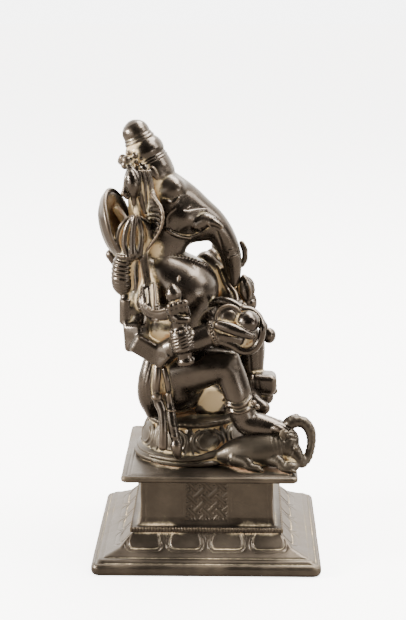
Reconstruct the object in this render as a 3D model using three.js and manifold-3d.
// Ganapati and consort statue, about 153 mm high, cast in two pieces: the figure group and its plinth.
// Millimetres. +X is the way the figures face, +Y their left side, +Z up.
// The origin is the centre of the plinth's underside.
// Heights in the functions below count from a datum plane that lies FOOT above the underside.
import * as THREE from "three";
import { mergeVertices } from "three/addons/utils/BufferGeometryUtils.js";
import Module from "manifold-3d";

const wasm = await Module();
wasm.setup();

// Driving sizes
const FOOT = 0.8;
const BASE_X = 80;
const BASE_Y = 77.4;
const SLAB_X = 61.4;
const SLAB_SHIFT = 1;
const SLAB_Y = 62.0;
const DADO_X = 46.4;
const DADO_Y = 47.8;
const RIM_OUT = 3.1;
const LIP_H = 4.4;
const SLOPE_H = 6.8;
const LEDGE_Z = 13.2;
const SLAB_Z = 32.8;
const SLAB_H = 2.3;
const GAP = 0.3;
const SEAT_X = -5.6;
const SEAT_R = 21;
const SEAT_Z = SLAB_Z + GAP;
const SEAT_TOP = 49.6;
const PETALS = 8;
const CROWN_LEAN = 25;

const deg = (angle) => (angle * Math.PI) / 180;
const vec = (p) => new THREE.Vector3(p[0], p[1], p[2]);
const mirrored = (p) => [p[0], -p[1], ...p.slice(2)];

// A closed three.js geometry, moved by a matrix, as a solid that can be joined and cut
function solid(geometry, matrix = new THREE.Matrix4()) {
  const bare = geometry.clone();
  bare.deleteAttribute("normal");
  bare.deleteAttribute("uv");
  bare.applyMatrix4(matrix);
  const merged = mergeVertices(bare, 1e-4);
  const mesh = new wasm.Mesh({
    numProp: 3,
    vertProperties: new Float32Array(merged.attributes.position.array),
    triVerts: new Uint32Array(merged.index.array),
  });
  return new wasm.Manifold(mesh);
}

const join = (solids) => solids.reduce((whole, piece) => whole.add(piece));

// A matrix that turns a shape's own Y axis to a direction and moves it to a point
function along(point, direction) {
  const ownAxis = new THREE.Vector3(0, 1, 0);
  const turn = new THREE.Quaternion().setFromUnitVectors(ownAxis, vec(direction).normalize());
  return new THREE.Matrix4().compose(vec(point), turn, new THREE.Vector3(1, 1, 1));
}

// A matrix for a stretched shape turned by degrees about X, then Y, then Z
function placed(point, stretch, turn) {
  const euler = new THREE.Euler(deg(turn[0]), deg(turn[1]), deg(turn[2]), "ZYX");
  return new THREE.Matrix4().compose(vec(point), new THREE.Quaternion().setFromEuler(euler), vec(stretch));
}

const ball = (point, radii, turn = [0, 0, 0], across = 7, high = 5) =>
  solid(new THREE.SphereGeometry(1, across, high).rotateX(Math.PI / 2), placed(point, radii, turn));

// Closed skin over rings of points that all have the same count, from the lowest ring to the highest
function skin(rings) {
  const count = rings[0].length;
  const faces = [];
  for (let tier = 0; tier < rings.length - 1; tier += 1) {
    for (let i = 0; i < count; i += 1) {
      const a = tier * count + i;
      const b = tier * count + ((i + 1) % count);
      faces.push(a, b, b + count, a, b + count, a + count);
    }
  }
  const top = (rings.length - 1) * count;
  for (let i = 1; i < count - 1; i += 1) {
    faces.push(0, i + 1, i);
    faces.push(top, top + i, top + i + 1);
  }
  const geometry = new THREE.BufferGeometry();
  geometry.setAttribute("position", new THREE.Float32BufferAttribute(rings.flat(2), 3));
  geometry.setIndex(faces);
  return solid(geometry);
}

// A rounded, tapering length along a curve through points given as x, y, z, radius
function limb(points, sides = 6) {
  const curve = new THREE.CatmullRomCurve3(points.map(vec), false, "centripetal");
  const steps = points.length - 1;
  const frames = curve.computeFrenetFrames(steps, false);
  const rings = [];
  const addRing = (step, shrink, push) => {
    const radius = points[step][3];
    const centre = curve.getPoint(step / steps).addScaledVector(frames.tangents[step], push * radius);
    const outline = [];
    for (let i = 0; i < sides; i += 1) {
      const angle = (i / sides) * 2 * Math.PI;
      const point = centre.clone();
      point.addScaledVector(frames.normals[step], radius * shrink * Math.cos(angle));
      point.addScaledVector(frames.binormals[step], radius * shrink * Math.sin(angle));
      outline.push(point.toArray());
    }
    rings.push(outline);
  };
  addRing(0, 0.55, -0.85);
  for (let step = 0; step <= steps; step += 1) {
    addRing(step, 1, 0);
  }
  addRing(steps, 0.55, 0.85);
  return skin(rings);
}

// The same shape on the right side and mirrored on the left
const pair = (shape, points, sides) => [shape(points, sides), shape(points.map(mirrored), sides)];

// A turned profile of radius and height pairs, standing on a point along a direction
function turned(pairs, point, direction, sides = 9) {
  const profile = pairs.map(([radius, height]) => new THREE.Vector2(radius, height));
  return solid(new THREE.LatheGeometry(profile, sides), along(point, direction));
}

// Plinth: rounded rectangles lofted from the lip to the slab

function roundedRectangle(width, depth, radius, z, shift = 0) {
  const outline = [];
  for (const [sideX, sideY, start] of [[1, -1, -90], [1, 1, 0], [-1, 1, 90], [-1, -1, 180]]) {
    for (const angle of [0, 45, 90]) {
      const turn = deg(start + angle);
      const x = sideX * (width / 2 - radius) + radius * Math.cos(turn);
      const y = sideY * (depth / 2 - radius) + radius * Math.sin(turn);
      outline.push([x + shift, y, z]);
    }
  }
  return outline;
}

function plinthBody() {
  const baseTier = (inset, radius, z) => roundedRectangle(BASE_X - 2 * inset, BASE_Y - 2 * inset, radius, z);
  const dadoTier = (out, radius, z) => roundedRectangle(DADO_X + 2 * out, DADO_Y + 2 * out, radius, z);
  const slabTier = (inset, radius, z) =>
    roundedRectangle(SLAB_X - 2 * inset, SLAB_Y - 2 * inset, radius, z, SLAB_SHIFT);
  const slopeTop = LIP_H + SLOPE_H;
  return skin([
    baseTier(0.9, 2.6, -FOOT),
    baseTier(0, 3, 0.6),
    baseTier(0.4, 2.8, 3.2),
    baseTier(1.6, 2.4, 4),
    baseTier(3.4, 1, LIP_H),
    dadoTier(RIM_OUT + 4, 0.9, LIP_H + SLOPE_H * 0.36),
    dadoTier(RIM_OUT + 1.1, 0.8, LIP_H + SLOPE_H * 0.8),
    dadoTier(RIM_OUT - 0.1, 0.8, slopeTop),
    dadoTier(RIM_OUT + 0.3, 0.9, slopeTop + 0.9),
    dadoTier(RIM_OUT - 0.3, 0.8, LEDGE_Z),
    dadoTier(1.2, 0.5, LEDGE_Z + 0.1),
    dadoTier(0.4, 0.5, LEDGE_Z + 2.6),
    dadoTier(0, 0.5, LEDGE_Z + 8),
    dadoTier(0, 0.5, SLAB_Z - SLAB_H),
    slabTier(0.7, 1.4, SLAB_Z - SLAB_H),
    slabTier(0, 1.8, SLAB_Z - SLAB_H * 0.55),
    slabTier(0.3, 1.6, SLAB_Z),
  ]);
}

// The four sides of the plinth: a turn about Z, its width, and how far its lip and dado stand out
const SIDES = [
  { turn: -90, across: BASE_X, out: BASE_Y, dado: DADO_Y, panel: true },
  { turn: 0, across: BASE_Y, out: BASE_X, dado: DADO_X, panel: true },
  { turn: 90, across: BASE_X, out: BASE_Y, dado: DADO_Y, panel: false },
  { turn: 180, across: BASE_Y, out: BASE_X, dado: DADO_X, panel: false },
];

function onSide(side, out, along, z) {
  const turn = new THREE.Matrix4().makeRotationZ(deg(side.turn));
  return turn.multiply(new THREE.Matrix4().makeTranslation(out, along, z));
}

// Low rounded petals on the sloping sides, four to a side, lying on the slope
function slopePetals() {
  const slopeLean = 47;
  const petals = [];
  for (const side of SIDES) {
    const pitch = (side.across - 17) / 4;
    for (let i = 0; i < 4; i += 1) {
      const matrix = onSide(side, side.out / 2 - 8.1, (i - 1.5) * pitch, LIP_H + 3.1)
        .multiply(new THREE.Matrix4().makeRotationY(deg(slopeLean)))
        .multiply(new THREE.Matrix4().makeScale(4.6, pitch * 0.4, 1));
      petals.push(solid(new THREE.SphereGeometry(1, 7, 3).rotateX(Math.PI / 2), matrix));
    }
  }
  return join(petals);
}

// Square lattice panels: a border groove and crossing diagonal grooves on the dado
function panelCuts() {
  const size = 15.2;
  const line = 0.6;
  const deep = 0.9;
  const cuts = [];
  for (const side of SIDES.filter((one) => one.panel)) {
    const onFace = onSide(side, side.dado / 2, 0, LEDGE_Z + 8.8);
    for (const angle of [45, -45]) {
      for (const offset of [-2.9, 2.9]) {
        const length = 2 * (size / Math.SQRT2 - Math.abs(offset)) - 1;
        const strip = new THREE.BoxGeometry(deep, line, length).translate(0, offset, 0).rotateX(deg(angle));
        cuts.push(solid(strip, onFace));
      }
    }
    for (const quarter of [0, 90, 180, 270]) {
      const border = new THREE.BoxGeometry(deep, line, size + line).translate(0, size / 2, 0);
      cuts.push(solid(border.rotateX(deg(quarter)), onFace));
    }
  }
  return join(cuts);
}

const plinthSolid = () => plinthBody().add(slopePetals()).subtract(panelCuts());

// Lotus seat: a foot plate, then broad petals as waves in the radius, then a plain rim
function lotusSeat() {
  const tiers = [
    [20.5, 0, 0],
    [SEAT_R, 0, 1.2],
    [20.2, 0, 2.8],
    [17.2, 2.4, 3.6],
    [17.4, 3.2, 6.4],
    [15, 2.6, 11.4],
    [16.8, 0, 14.2],
    [16.2, 0, SEAT_TOP - SEAT_Z],
  ];
  const sides = PETALS * 4;
  const firstPetal = deg(-70);
  return skin(
    tiers.map(([radius, wave, z]) =>
      Array.from({ length: sides }, (_, i) => {
        const angle = (i / sides) * 2 * Math.PI;
        const swell = Math.sqrt(Math.abs(Math.cos((PETALS / 2) * (angle - firstPetal))));
        const reach = radius + wave * swell;
        return [SEAT_X + reach * Math.cos(angle), reach * Math.sin(angle), SEAT_Z + z];
      }),
    ),
  );
}

// Ganapati's body, seated at ease
function torso() {
  return join([
    ball([-8.2, -1, 93.2], [12, 13, 11.9], [0, 0, 0], 12, 7),
    ball([-15.6, 0, 100], [9.2, 12.2, 9]),
    ball([-12.8, 0, 80.6], [12.4, 14.2, 17]),
    ball([-11.6, 0, 59.4], [12.6, 16.5, 12], [0, 0, 0], 10, 6),
  ]);
}

// Right leg down with its foot on the rat, left leg folded on the seat
function legs() {
  const rightThigh = [
    [-14.7, -9.5, 63.7, 8.6],
    [-6.8, -12, 65.5, 7.9],
    [0.3, -13.8, 67.5, 6.8],
    [6.2, -14.8, 67.6, 5.8],
  ];
  const rightShin = [
    [6, -14.8, 67.6, 5.2],
    [9.4, -15.2, 61.6, 4.9],
    [11.6, -15.7, 53, 4.5],
    [14.4, -16.2, 48.4, 4.6],
    [20.6, -17, 47.2, 4],
    [26.4, -18, 46.2, 2.5],
  ];
  return join([
    limb(rightThigh, 8),
    limb(rightShin, 7),
    ball([0.8, -1.2, 58.2], [6, 6, 5.2], [0, 0, 0], 6, 4),
    limb([[-12, 9.5, 60, 9], [-1, 14, 61.5, 7.8], [8, 17, 60, 6.6]], 7),
    limb([[8.4, 16.6, 58, 5.4], [12.6, 9, 55, 4.2], [17, -3, 52, 2.6]]),
  ]);
}

// Cloth between the right leg and the seat, the hanging girdle ends and the sash
function girdle() {
  const cloth = limb([[-9, -13.6, 60, 5], [-10, -14.4, 50, 4.4]]);
  const longEnd = [
    [-17.3, -13.4, 68, 1.6],
    [-18, -15.2, 58.6, 1.9],
    [-16.6, -17.4, 52, 1.3],
    [-15.2, -20.6, 40.8, 1.8],
  ];
  const shortEnd = [
    [-13.8, -15, 64, 1.6],
    [-12.8, -18.8, 51, 2],
    [-10.9, -20.8, 41, 1.8],
  ];
  const sash = limb([[2, 8, 98, 1.2], [4.6, -2, 90, 1.4], [3, -6, 84.4, 1.4]], 4);
  return join([cloth, limb(longEnd, 5), limb(shortEnd, 5), sash]);
}

// Head with trunk and short tusks
function head() {
  const trunk = [
    [-9.5, 0, 124.8, 6.9],
    [-4.3, 0.3, 120.5, 6.5],
    [1, 1, 116.5, 5.6],
    [4.9, 2, 111.7, 4.8],
    [7.8, 3.4, 104.6, 4],
    [8.8, 4.6, 96.8, 3],
  ];
  const tusk = [
    [-3.4, -6, 118.4, 2.4],
    [4, -9.2, 118.2, 1],
  ];
  return join([
    ball([-12.2, 0, 122], [9, 9, 9.6], [0, 0, 0], 10, 6),
    ball([-14.2, 0, 128.4], [7.2, 8.6, 6]),
    ball([-9, 0, 117.6], [5.8, 9.6, 5.6]),
    limb([[-16, 0, 108, 9.4], [-13.4, 0, 114, 8.6], [-5, 0, 113, 2.6]]),
    limb(trunk),
    ...pair(limb, tusk, 4),
  ]);
}

// A fan-shaped ear, broad at the top and drawn to a point at the shoulder
function ear(side) {
  const thick = 1.9;
  const shape = new THREE.Shape();
  shape.moveTo(0, 8);
  shape.bezierCurveTo(4, 12, 12, 9, 11.4, 1);
  shape.bezierCurveTo(11, -5, 7, -8, 3.4, -11.4);
  shape.bezierCurveTo(1, -8, 0, -5, 0, 8);
  const geometry = new THREE.ExtrudeGeometry(shape, { depth: thick, bevelEnabled: false, curveSegments: 4 });
  geometry.translate(0, 0, -thick / 2);
  geometry.rotateX(deg(90));
  geometry.rotateZ(deg(side * 82));
  return solid(geometry, placed([-18, side * 7, 119.4], [1, 1, 1], [0, 14, 0]));
}

// Crown: headband, turban roll and rings under a dome, leaning back
function crown() {
  const lean = [-Math.sin(deg(CROWN_LEAN)), 0, Math.cos(deg(CROWN_LEAN))];
  const profile = [
    [0, -3],
    [6.8, -2.4],
    [7, 1.6],
    [6.6, 4.4],
    [7.1, 8],
    [6.4, 10.8],
    [5.2, 12],
    [5.2, 13.8],
    [4.3, 17.4],
    [2.2, 19],
    [0, 19.4],
  ];
  const ribbon = [
    [-24.8, -5, 141.6, 2.6],
    [-26, -7, 137.6, 1.8],
    [-25.6, -9.4, 132.4, 3],
    [-27, -10.2, 128, 1.5],
  ];
  const locks = [[-21, -5.6, 133, 3.6], [-22, -7, 122, 3.2], [-21.2, -8.4, 110, 2.6]];
  return join([
    turned(profile, [-19.4, 0, 134.4], lean),
    ball([-27, 0, 139.6], [3.6, 3.6, 2.8], [0, 0, 0], 6, 4),
    ...pair(limb, ribbon, 4),
    ...pair(limb, locks, 4),
  ]);
}

// Arms. The three right arms follow the photograph, and the left arms answer them.

// The near raised hand shows its bangles and fingers, and the far one is plainer
function nearRaisedHand() {
  const upper = [[-20, -6, 100, 4.6], [-24.4, -8.4, 93.4, 4.2], [-27, -9.4, 87, 4]];
  const fore = [
    [-28.6, -9.6, 83, 2.5],
    [-28.6, -9.6, 92.6, 2.5],
    [-29.6, -9.6, 96.8, 4],
    [-29.8, -9.6, 101.4, 3.6],
    [-28.6, -9.8, 105.6, 3.9],
    [-27, -10.4, 108.6, 4.2],
  ];
  // Five fingers curving in from a spread palm to a common tip
  const middle = -25.7;
  const fingers = [-2, -1, 0, 1, 2].map((place) => {
    const y = -14 + 0.6 * place ** 2;
    const spread = 2.4 * place;
    const tip = [middle + spread * 0.6, y, 119.6, 1];
    return limb([[middle + spread, y, 108.8 + 0.3 * place, 1.5], [middle + spread, y, 114, 1.4], tip], 4);
  });
  const palm = ball([middle - 0.3, -10.1, 111.6], [4.8, 3, 5.6], [0, 0, 0], 7, 4);
  return join([limb(upper), limb(fore), palm, ...fingers]);
}

function farRaisedHand() {
  const upper = [[-20, 6, 100, 4.6], [-24, 9.4, 93, 4.3], [-27, 9.5, 85.6, 4.3]];
  const fore = [
    [-27.8, 9.7, 86.6, 3.6],
    [-28.4, 9.8, 94, 3.1],
    [-27.4, 9.4, 107, 3.1],
    [-29, 7, 114.6, 2.8],
  ];
  return join([limb(upper), limb(fore)]);
}

// The ribbed club, bud upward, leaning in the hand
function club(foot) {
  const profile = [
    [0, 0],
    [3, 1],
    [2.6, 4.6],
    [4.1, 6.6],
    [4.1, 11.4],
    [2.6, 14.2],
    [2.3, 21],
    [2.8, 22.4],
    [2.3, 23.6],
    [2.6, 26],
    [0, 29.3],
  ];
  return turned(profile, foot, [-0.18, 0.02, 1], 7);
}

function clubHand(side) {
  const arm = [
    [-20.6, -6.5, 101, 3.8],
    [-21, -12.6, 97, 3.4],
    [-20.3, -17, 90.8, 3.6],
    [-15.6, -19.4, 88.2, 2.8],
    [-9.8, -21.8, 89.6, 3.7],
  ];
  return side < 0 ? join([limb(arm), club([-6.9, -22, 70.3])]) : limb(arm.map(mirrored));
}

// The near lower hand, closed round a fruit
function fruitHand() {
  const arm = [
    [-20.6, -6, 98, 4.8],
    [-23.6, -9.4, 86.4, 4.1],
    [-23.8, -13.8, 78.4, 5],
    [-16.4, -17.6, 74, 4.6],
    [-5.2, -19.4, 78.6, 4.4],
    [0.4, -19.4, 80.6, 4.1],
    [1.8, -19.4, 81.1, 5],
    [3.6, -19.4, 81.8, 4.2],
    [8, -19, 80.8, 4.5],
    [11, -18.4, 79.4, 3.6],
  ];
  const curled = [
    [7.4, -21.4, 80, 1.9],
    [13.6, -21.6, 75.8, 1.6],
    [18.4, -21.6, 78.4, 1.4],
    [19, -21, 84.4, 1.3],
  ];
  return join([
    limb(arm, 7),
    limb([[5.4, -23, 84.6, 1.6], [14.6, -24, 82, 1.3]], 5),
    limb(curled, 5),
    ball([14.1, -20.8, 85.6], [4.1, 4, 4.1], [0, 0, 0], 8, 5),
    ball([14, -17, 81.4], [4.4, 3, 4.6], [0, 0, 0], 6, 4),
    ball([7.6, -20.4, 87], [4.1, 3.6, 4.1], [0, 0, 0], 7, 5),
  ]);
}

// The far lower arm, laid round the consort's waist
function embracingArm() {
  const arm = [
    [-17, 11, 98, 5],
    [-17, 18, 90, 4.5],
    [-12, 21.6, 82.4, 4.3],
    [-3, 22.6, 82.4, 3.5],
    [4, 21.4, 83.4, 2.9],
    [12, 19.4, 83, 2.4],
  ];
  return limb(arm);
}

// The cupped round plate behind the raised hand, hollow towards the front
function cuppedPlate() {
  const bowl = [
    [0, 0],
    [8, 1],
    [13.2, 5.2],
    [12.4, 5.8],
    [7.4, 2.4],
    [0, 1.7],
  ];
  return join([
    turned(bowl, [-36.4, 1, 114], [0.93, -0.2, 0.3], 13),
    limb([[-34.6, 1, 113, 2.2], [-31, 0.6, 104, 2.6], [-23, 0, 98, 3.2]]),
  ]);
}

// The consort, seated on the left thigh and facing the same way
function consort() {
  const nearLeg = [
    [8, 11.4, 72, 5.6],
    [14.6, 9.8, 71.6, 5],
    [15, 8.6, 62, 4],
    [16, 7.8, 55.4, 4],
    [21.4, 6.4, 54.6, 4.1],
  ];
  const farLeg = [
    [8, 17.4, 71, 5.6],
    [15, 16.6, 71, 5],
    [15, 15.4, 62, 4],
    [16, 15, 55.4, 3.8],
    [21, 15, 54.4, 3.6],
  ];
  const body = [
    [8.3, 14.6, 71, 7.1],
    [7, 14.6, 80.6, 4.2],
    [7.8, 14.6, 89, 5.6],
    [6.5, 14.5, 96, 2.4],
    [6.5, 14.3, 100.4, 2.7],
  ];
  return join([
    limb(body, 7),
    ball([6.4, 14, 103.6], [4.4, 4, 5.4], [0, 0, 0], 7, 5),
    turned([[0, 0], [4.2, 0], [4, 1.8], [2.4, 3.2], [0, 8.4]], [5, 14, 106.6], [-0.15, 0, 1], 7),
    ball([1.4, 11.4, 103], [2.9, 2.6, 3.6], [0, 0, 0], 6, 4),
    limb([[4, 11, 104, 3], [3.4, 9, 96, 2.6]], 5),
    limb([[6.6, 9.8, 93, 2.4], [9, 7.2, 86, 2.1], [15.2, 6.4, 86, 1.7]], 5),
    limb([[6.6, 19.2, 93, 2.4], [9, 21.4, 85, 2.1], [16.6, 16.4, 78.4, 1.7]], 5),
    limb(nearLeg, 6),
    limb(farLeg, 6),
    ball([15.4, 9, 50.4], [5.4, 9, 3.4], [0, 0, 0], 8, 4),
  ]);
}

// The lotus under the trunk's tip and the round bud on its stem
function lotusBud() {
  return join([
    limb([[15.2, 6.6, 81, 1.1], [14.4, 6, 86, 1.3], [13.8, 6, 90, 2.6], [13, 5.8, 93.4, 2.4]], 5),
    limb([[15.5, 7.2, 82.2, 1.2], [19.6, 7.8, 80, 1.2], [21.6, 8, 75, 2.6]], 5),
  ]);
}

// Scarf ends over the shoulders and the necklace on the chest
function scarf() {
  const end = [[-21.4, -10.4, 108.6, 1.4], [-22.4, -12.8, 101, 1.5], [-21.8, -14.8, 94, 1.5]];
  const chain = [[-19, -9.6, 107.6, 1.3], [-10, -10, 105.8, 1.3], [-1.6, -2, 103, 1.3]];
  return join([...pair(limb, end, 4), ...pair(limb, chain, 4)]);
}

// The rat under the right foot, looking out over the corner of the slab, with the string it holds
function rat() {
  const paw = SEAT_Z + 1.4;
  const body = [
    [5.3, -17.6, 37, 3.2],
    [13, -18.2, 38.8, 5.4],
    [20.8, -18.8, 39.4, 5.9],
    [27.6, -19.4, 40.8, 4.8],
    [32.4, -22.8, 37, 2],
  ];
  const string = [
    [29.6, -18.6, 43, 1.8],
    [30.8, -17.8, 47.8, 1.8],
    [35, -17.2, 47.6, 1.7],
    [36.6, -18.4, 42.4, 1.5],
    [35.4, -20.2, 38, 1.5],
    [32.6, -22.2, 36, 1.5],
  ];
  return join([
    limb(body),
    limb([[23, -21, 38, 2.2], [26.4, -24.6, 35.8, 1.8], [28.8, -26, paw, 1.4]], 5),
    limb([[9, -18.6, 37, 3], [15, -22, paw, 1.5]], 5),
    limb(string, 5),
  ]);
}

const figureSolid = () =>
  join([
    lotusSeat(),
    torso(),
    legs(),
    girdle(),
    head(),
    ear(-1),
    ear(1),
    crown(),
    nearRaisedHand(),
    farRaisedHand(),
    clubHand(-1),
    clubHand(1),
    fruitHand(),
    embracingArm(),
    cuppedPlate(),
    consort(),
    lotusBud(),
    scarf(),
    rat(),
  ]);

// A solid back to a three.js mesh
function meshOf(manifold, name, material) {
  const made = manifold.getMesh();
  const geometry = new THREE.BufferGeometry();
  geometry.setAttribute("position", new THREE.BufferAttribute(new Float32Array(made.vertProperties), 3));
  geometry.setIndex(new THREE.BufferAttribute(new Uint32Array(made.triVerts), 1));
  geometry.computeVertexNormals();
  const mesh = new THREE.Mesh(geometry, material);
  mesh.name = name;
  mesh.position.z = FOOT;
  return mesh;
}

const figureBronze = new THREE.MeshStandardMaterial({ color: 0x2b1f17, roughness: 0.28, metalness: 0.85 });
const plinthBronze = new THREE.MeshStandardMaterial({ color: 0x3a3128, roughness: 0.38, metalness: 0.8 });

const statue = new THREE.Group();
statue.add(meshOf(plinthSolid(), "plinth", plinthBronze));
statue.add(meshOf(figureSolid(), "figure_group", figureBronze));

export default statue;
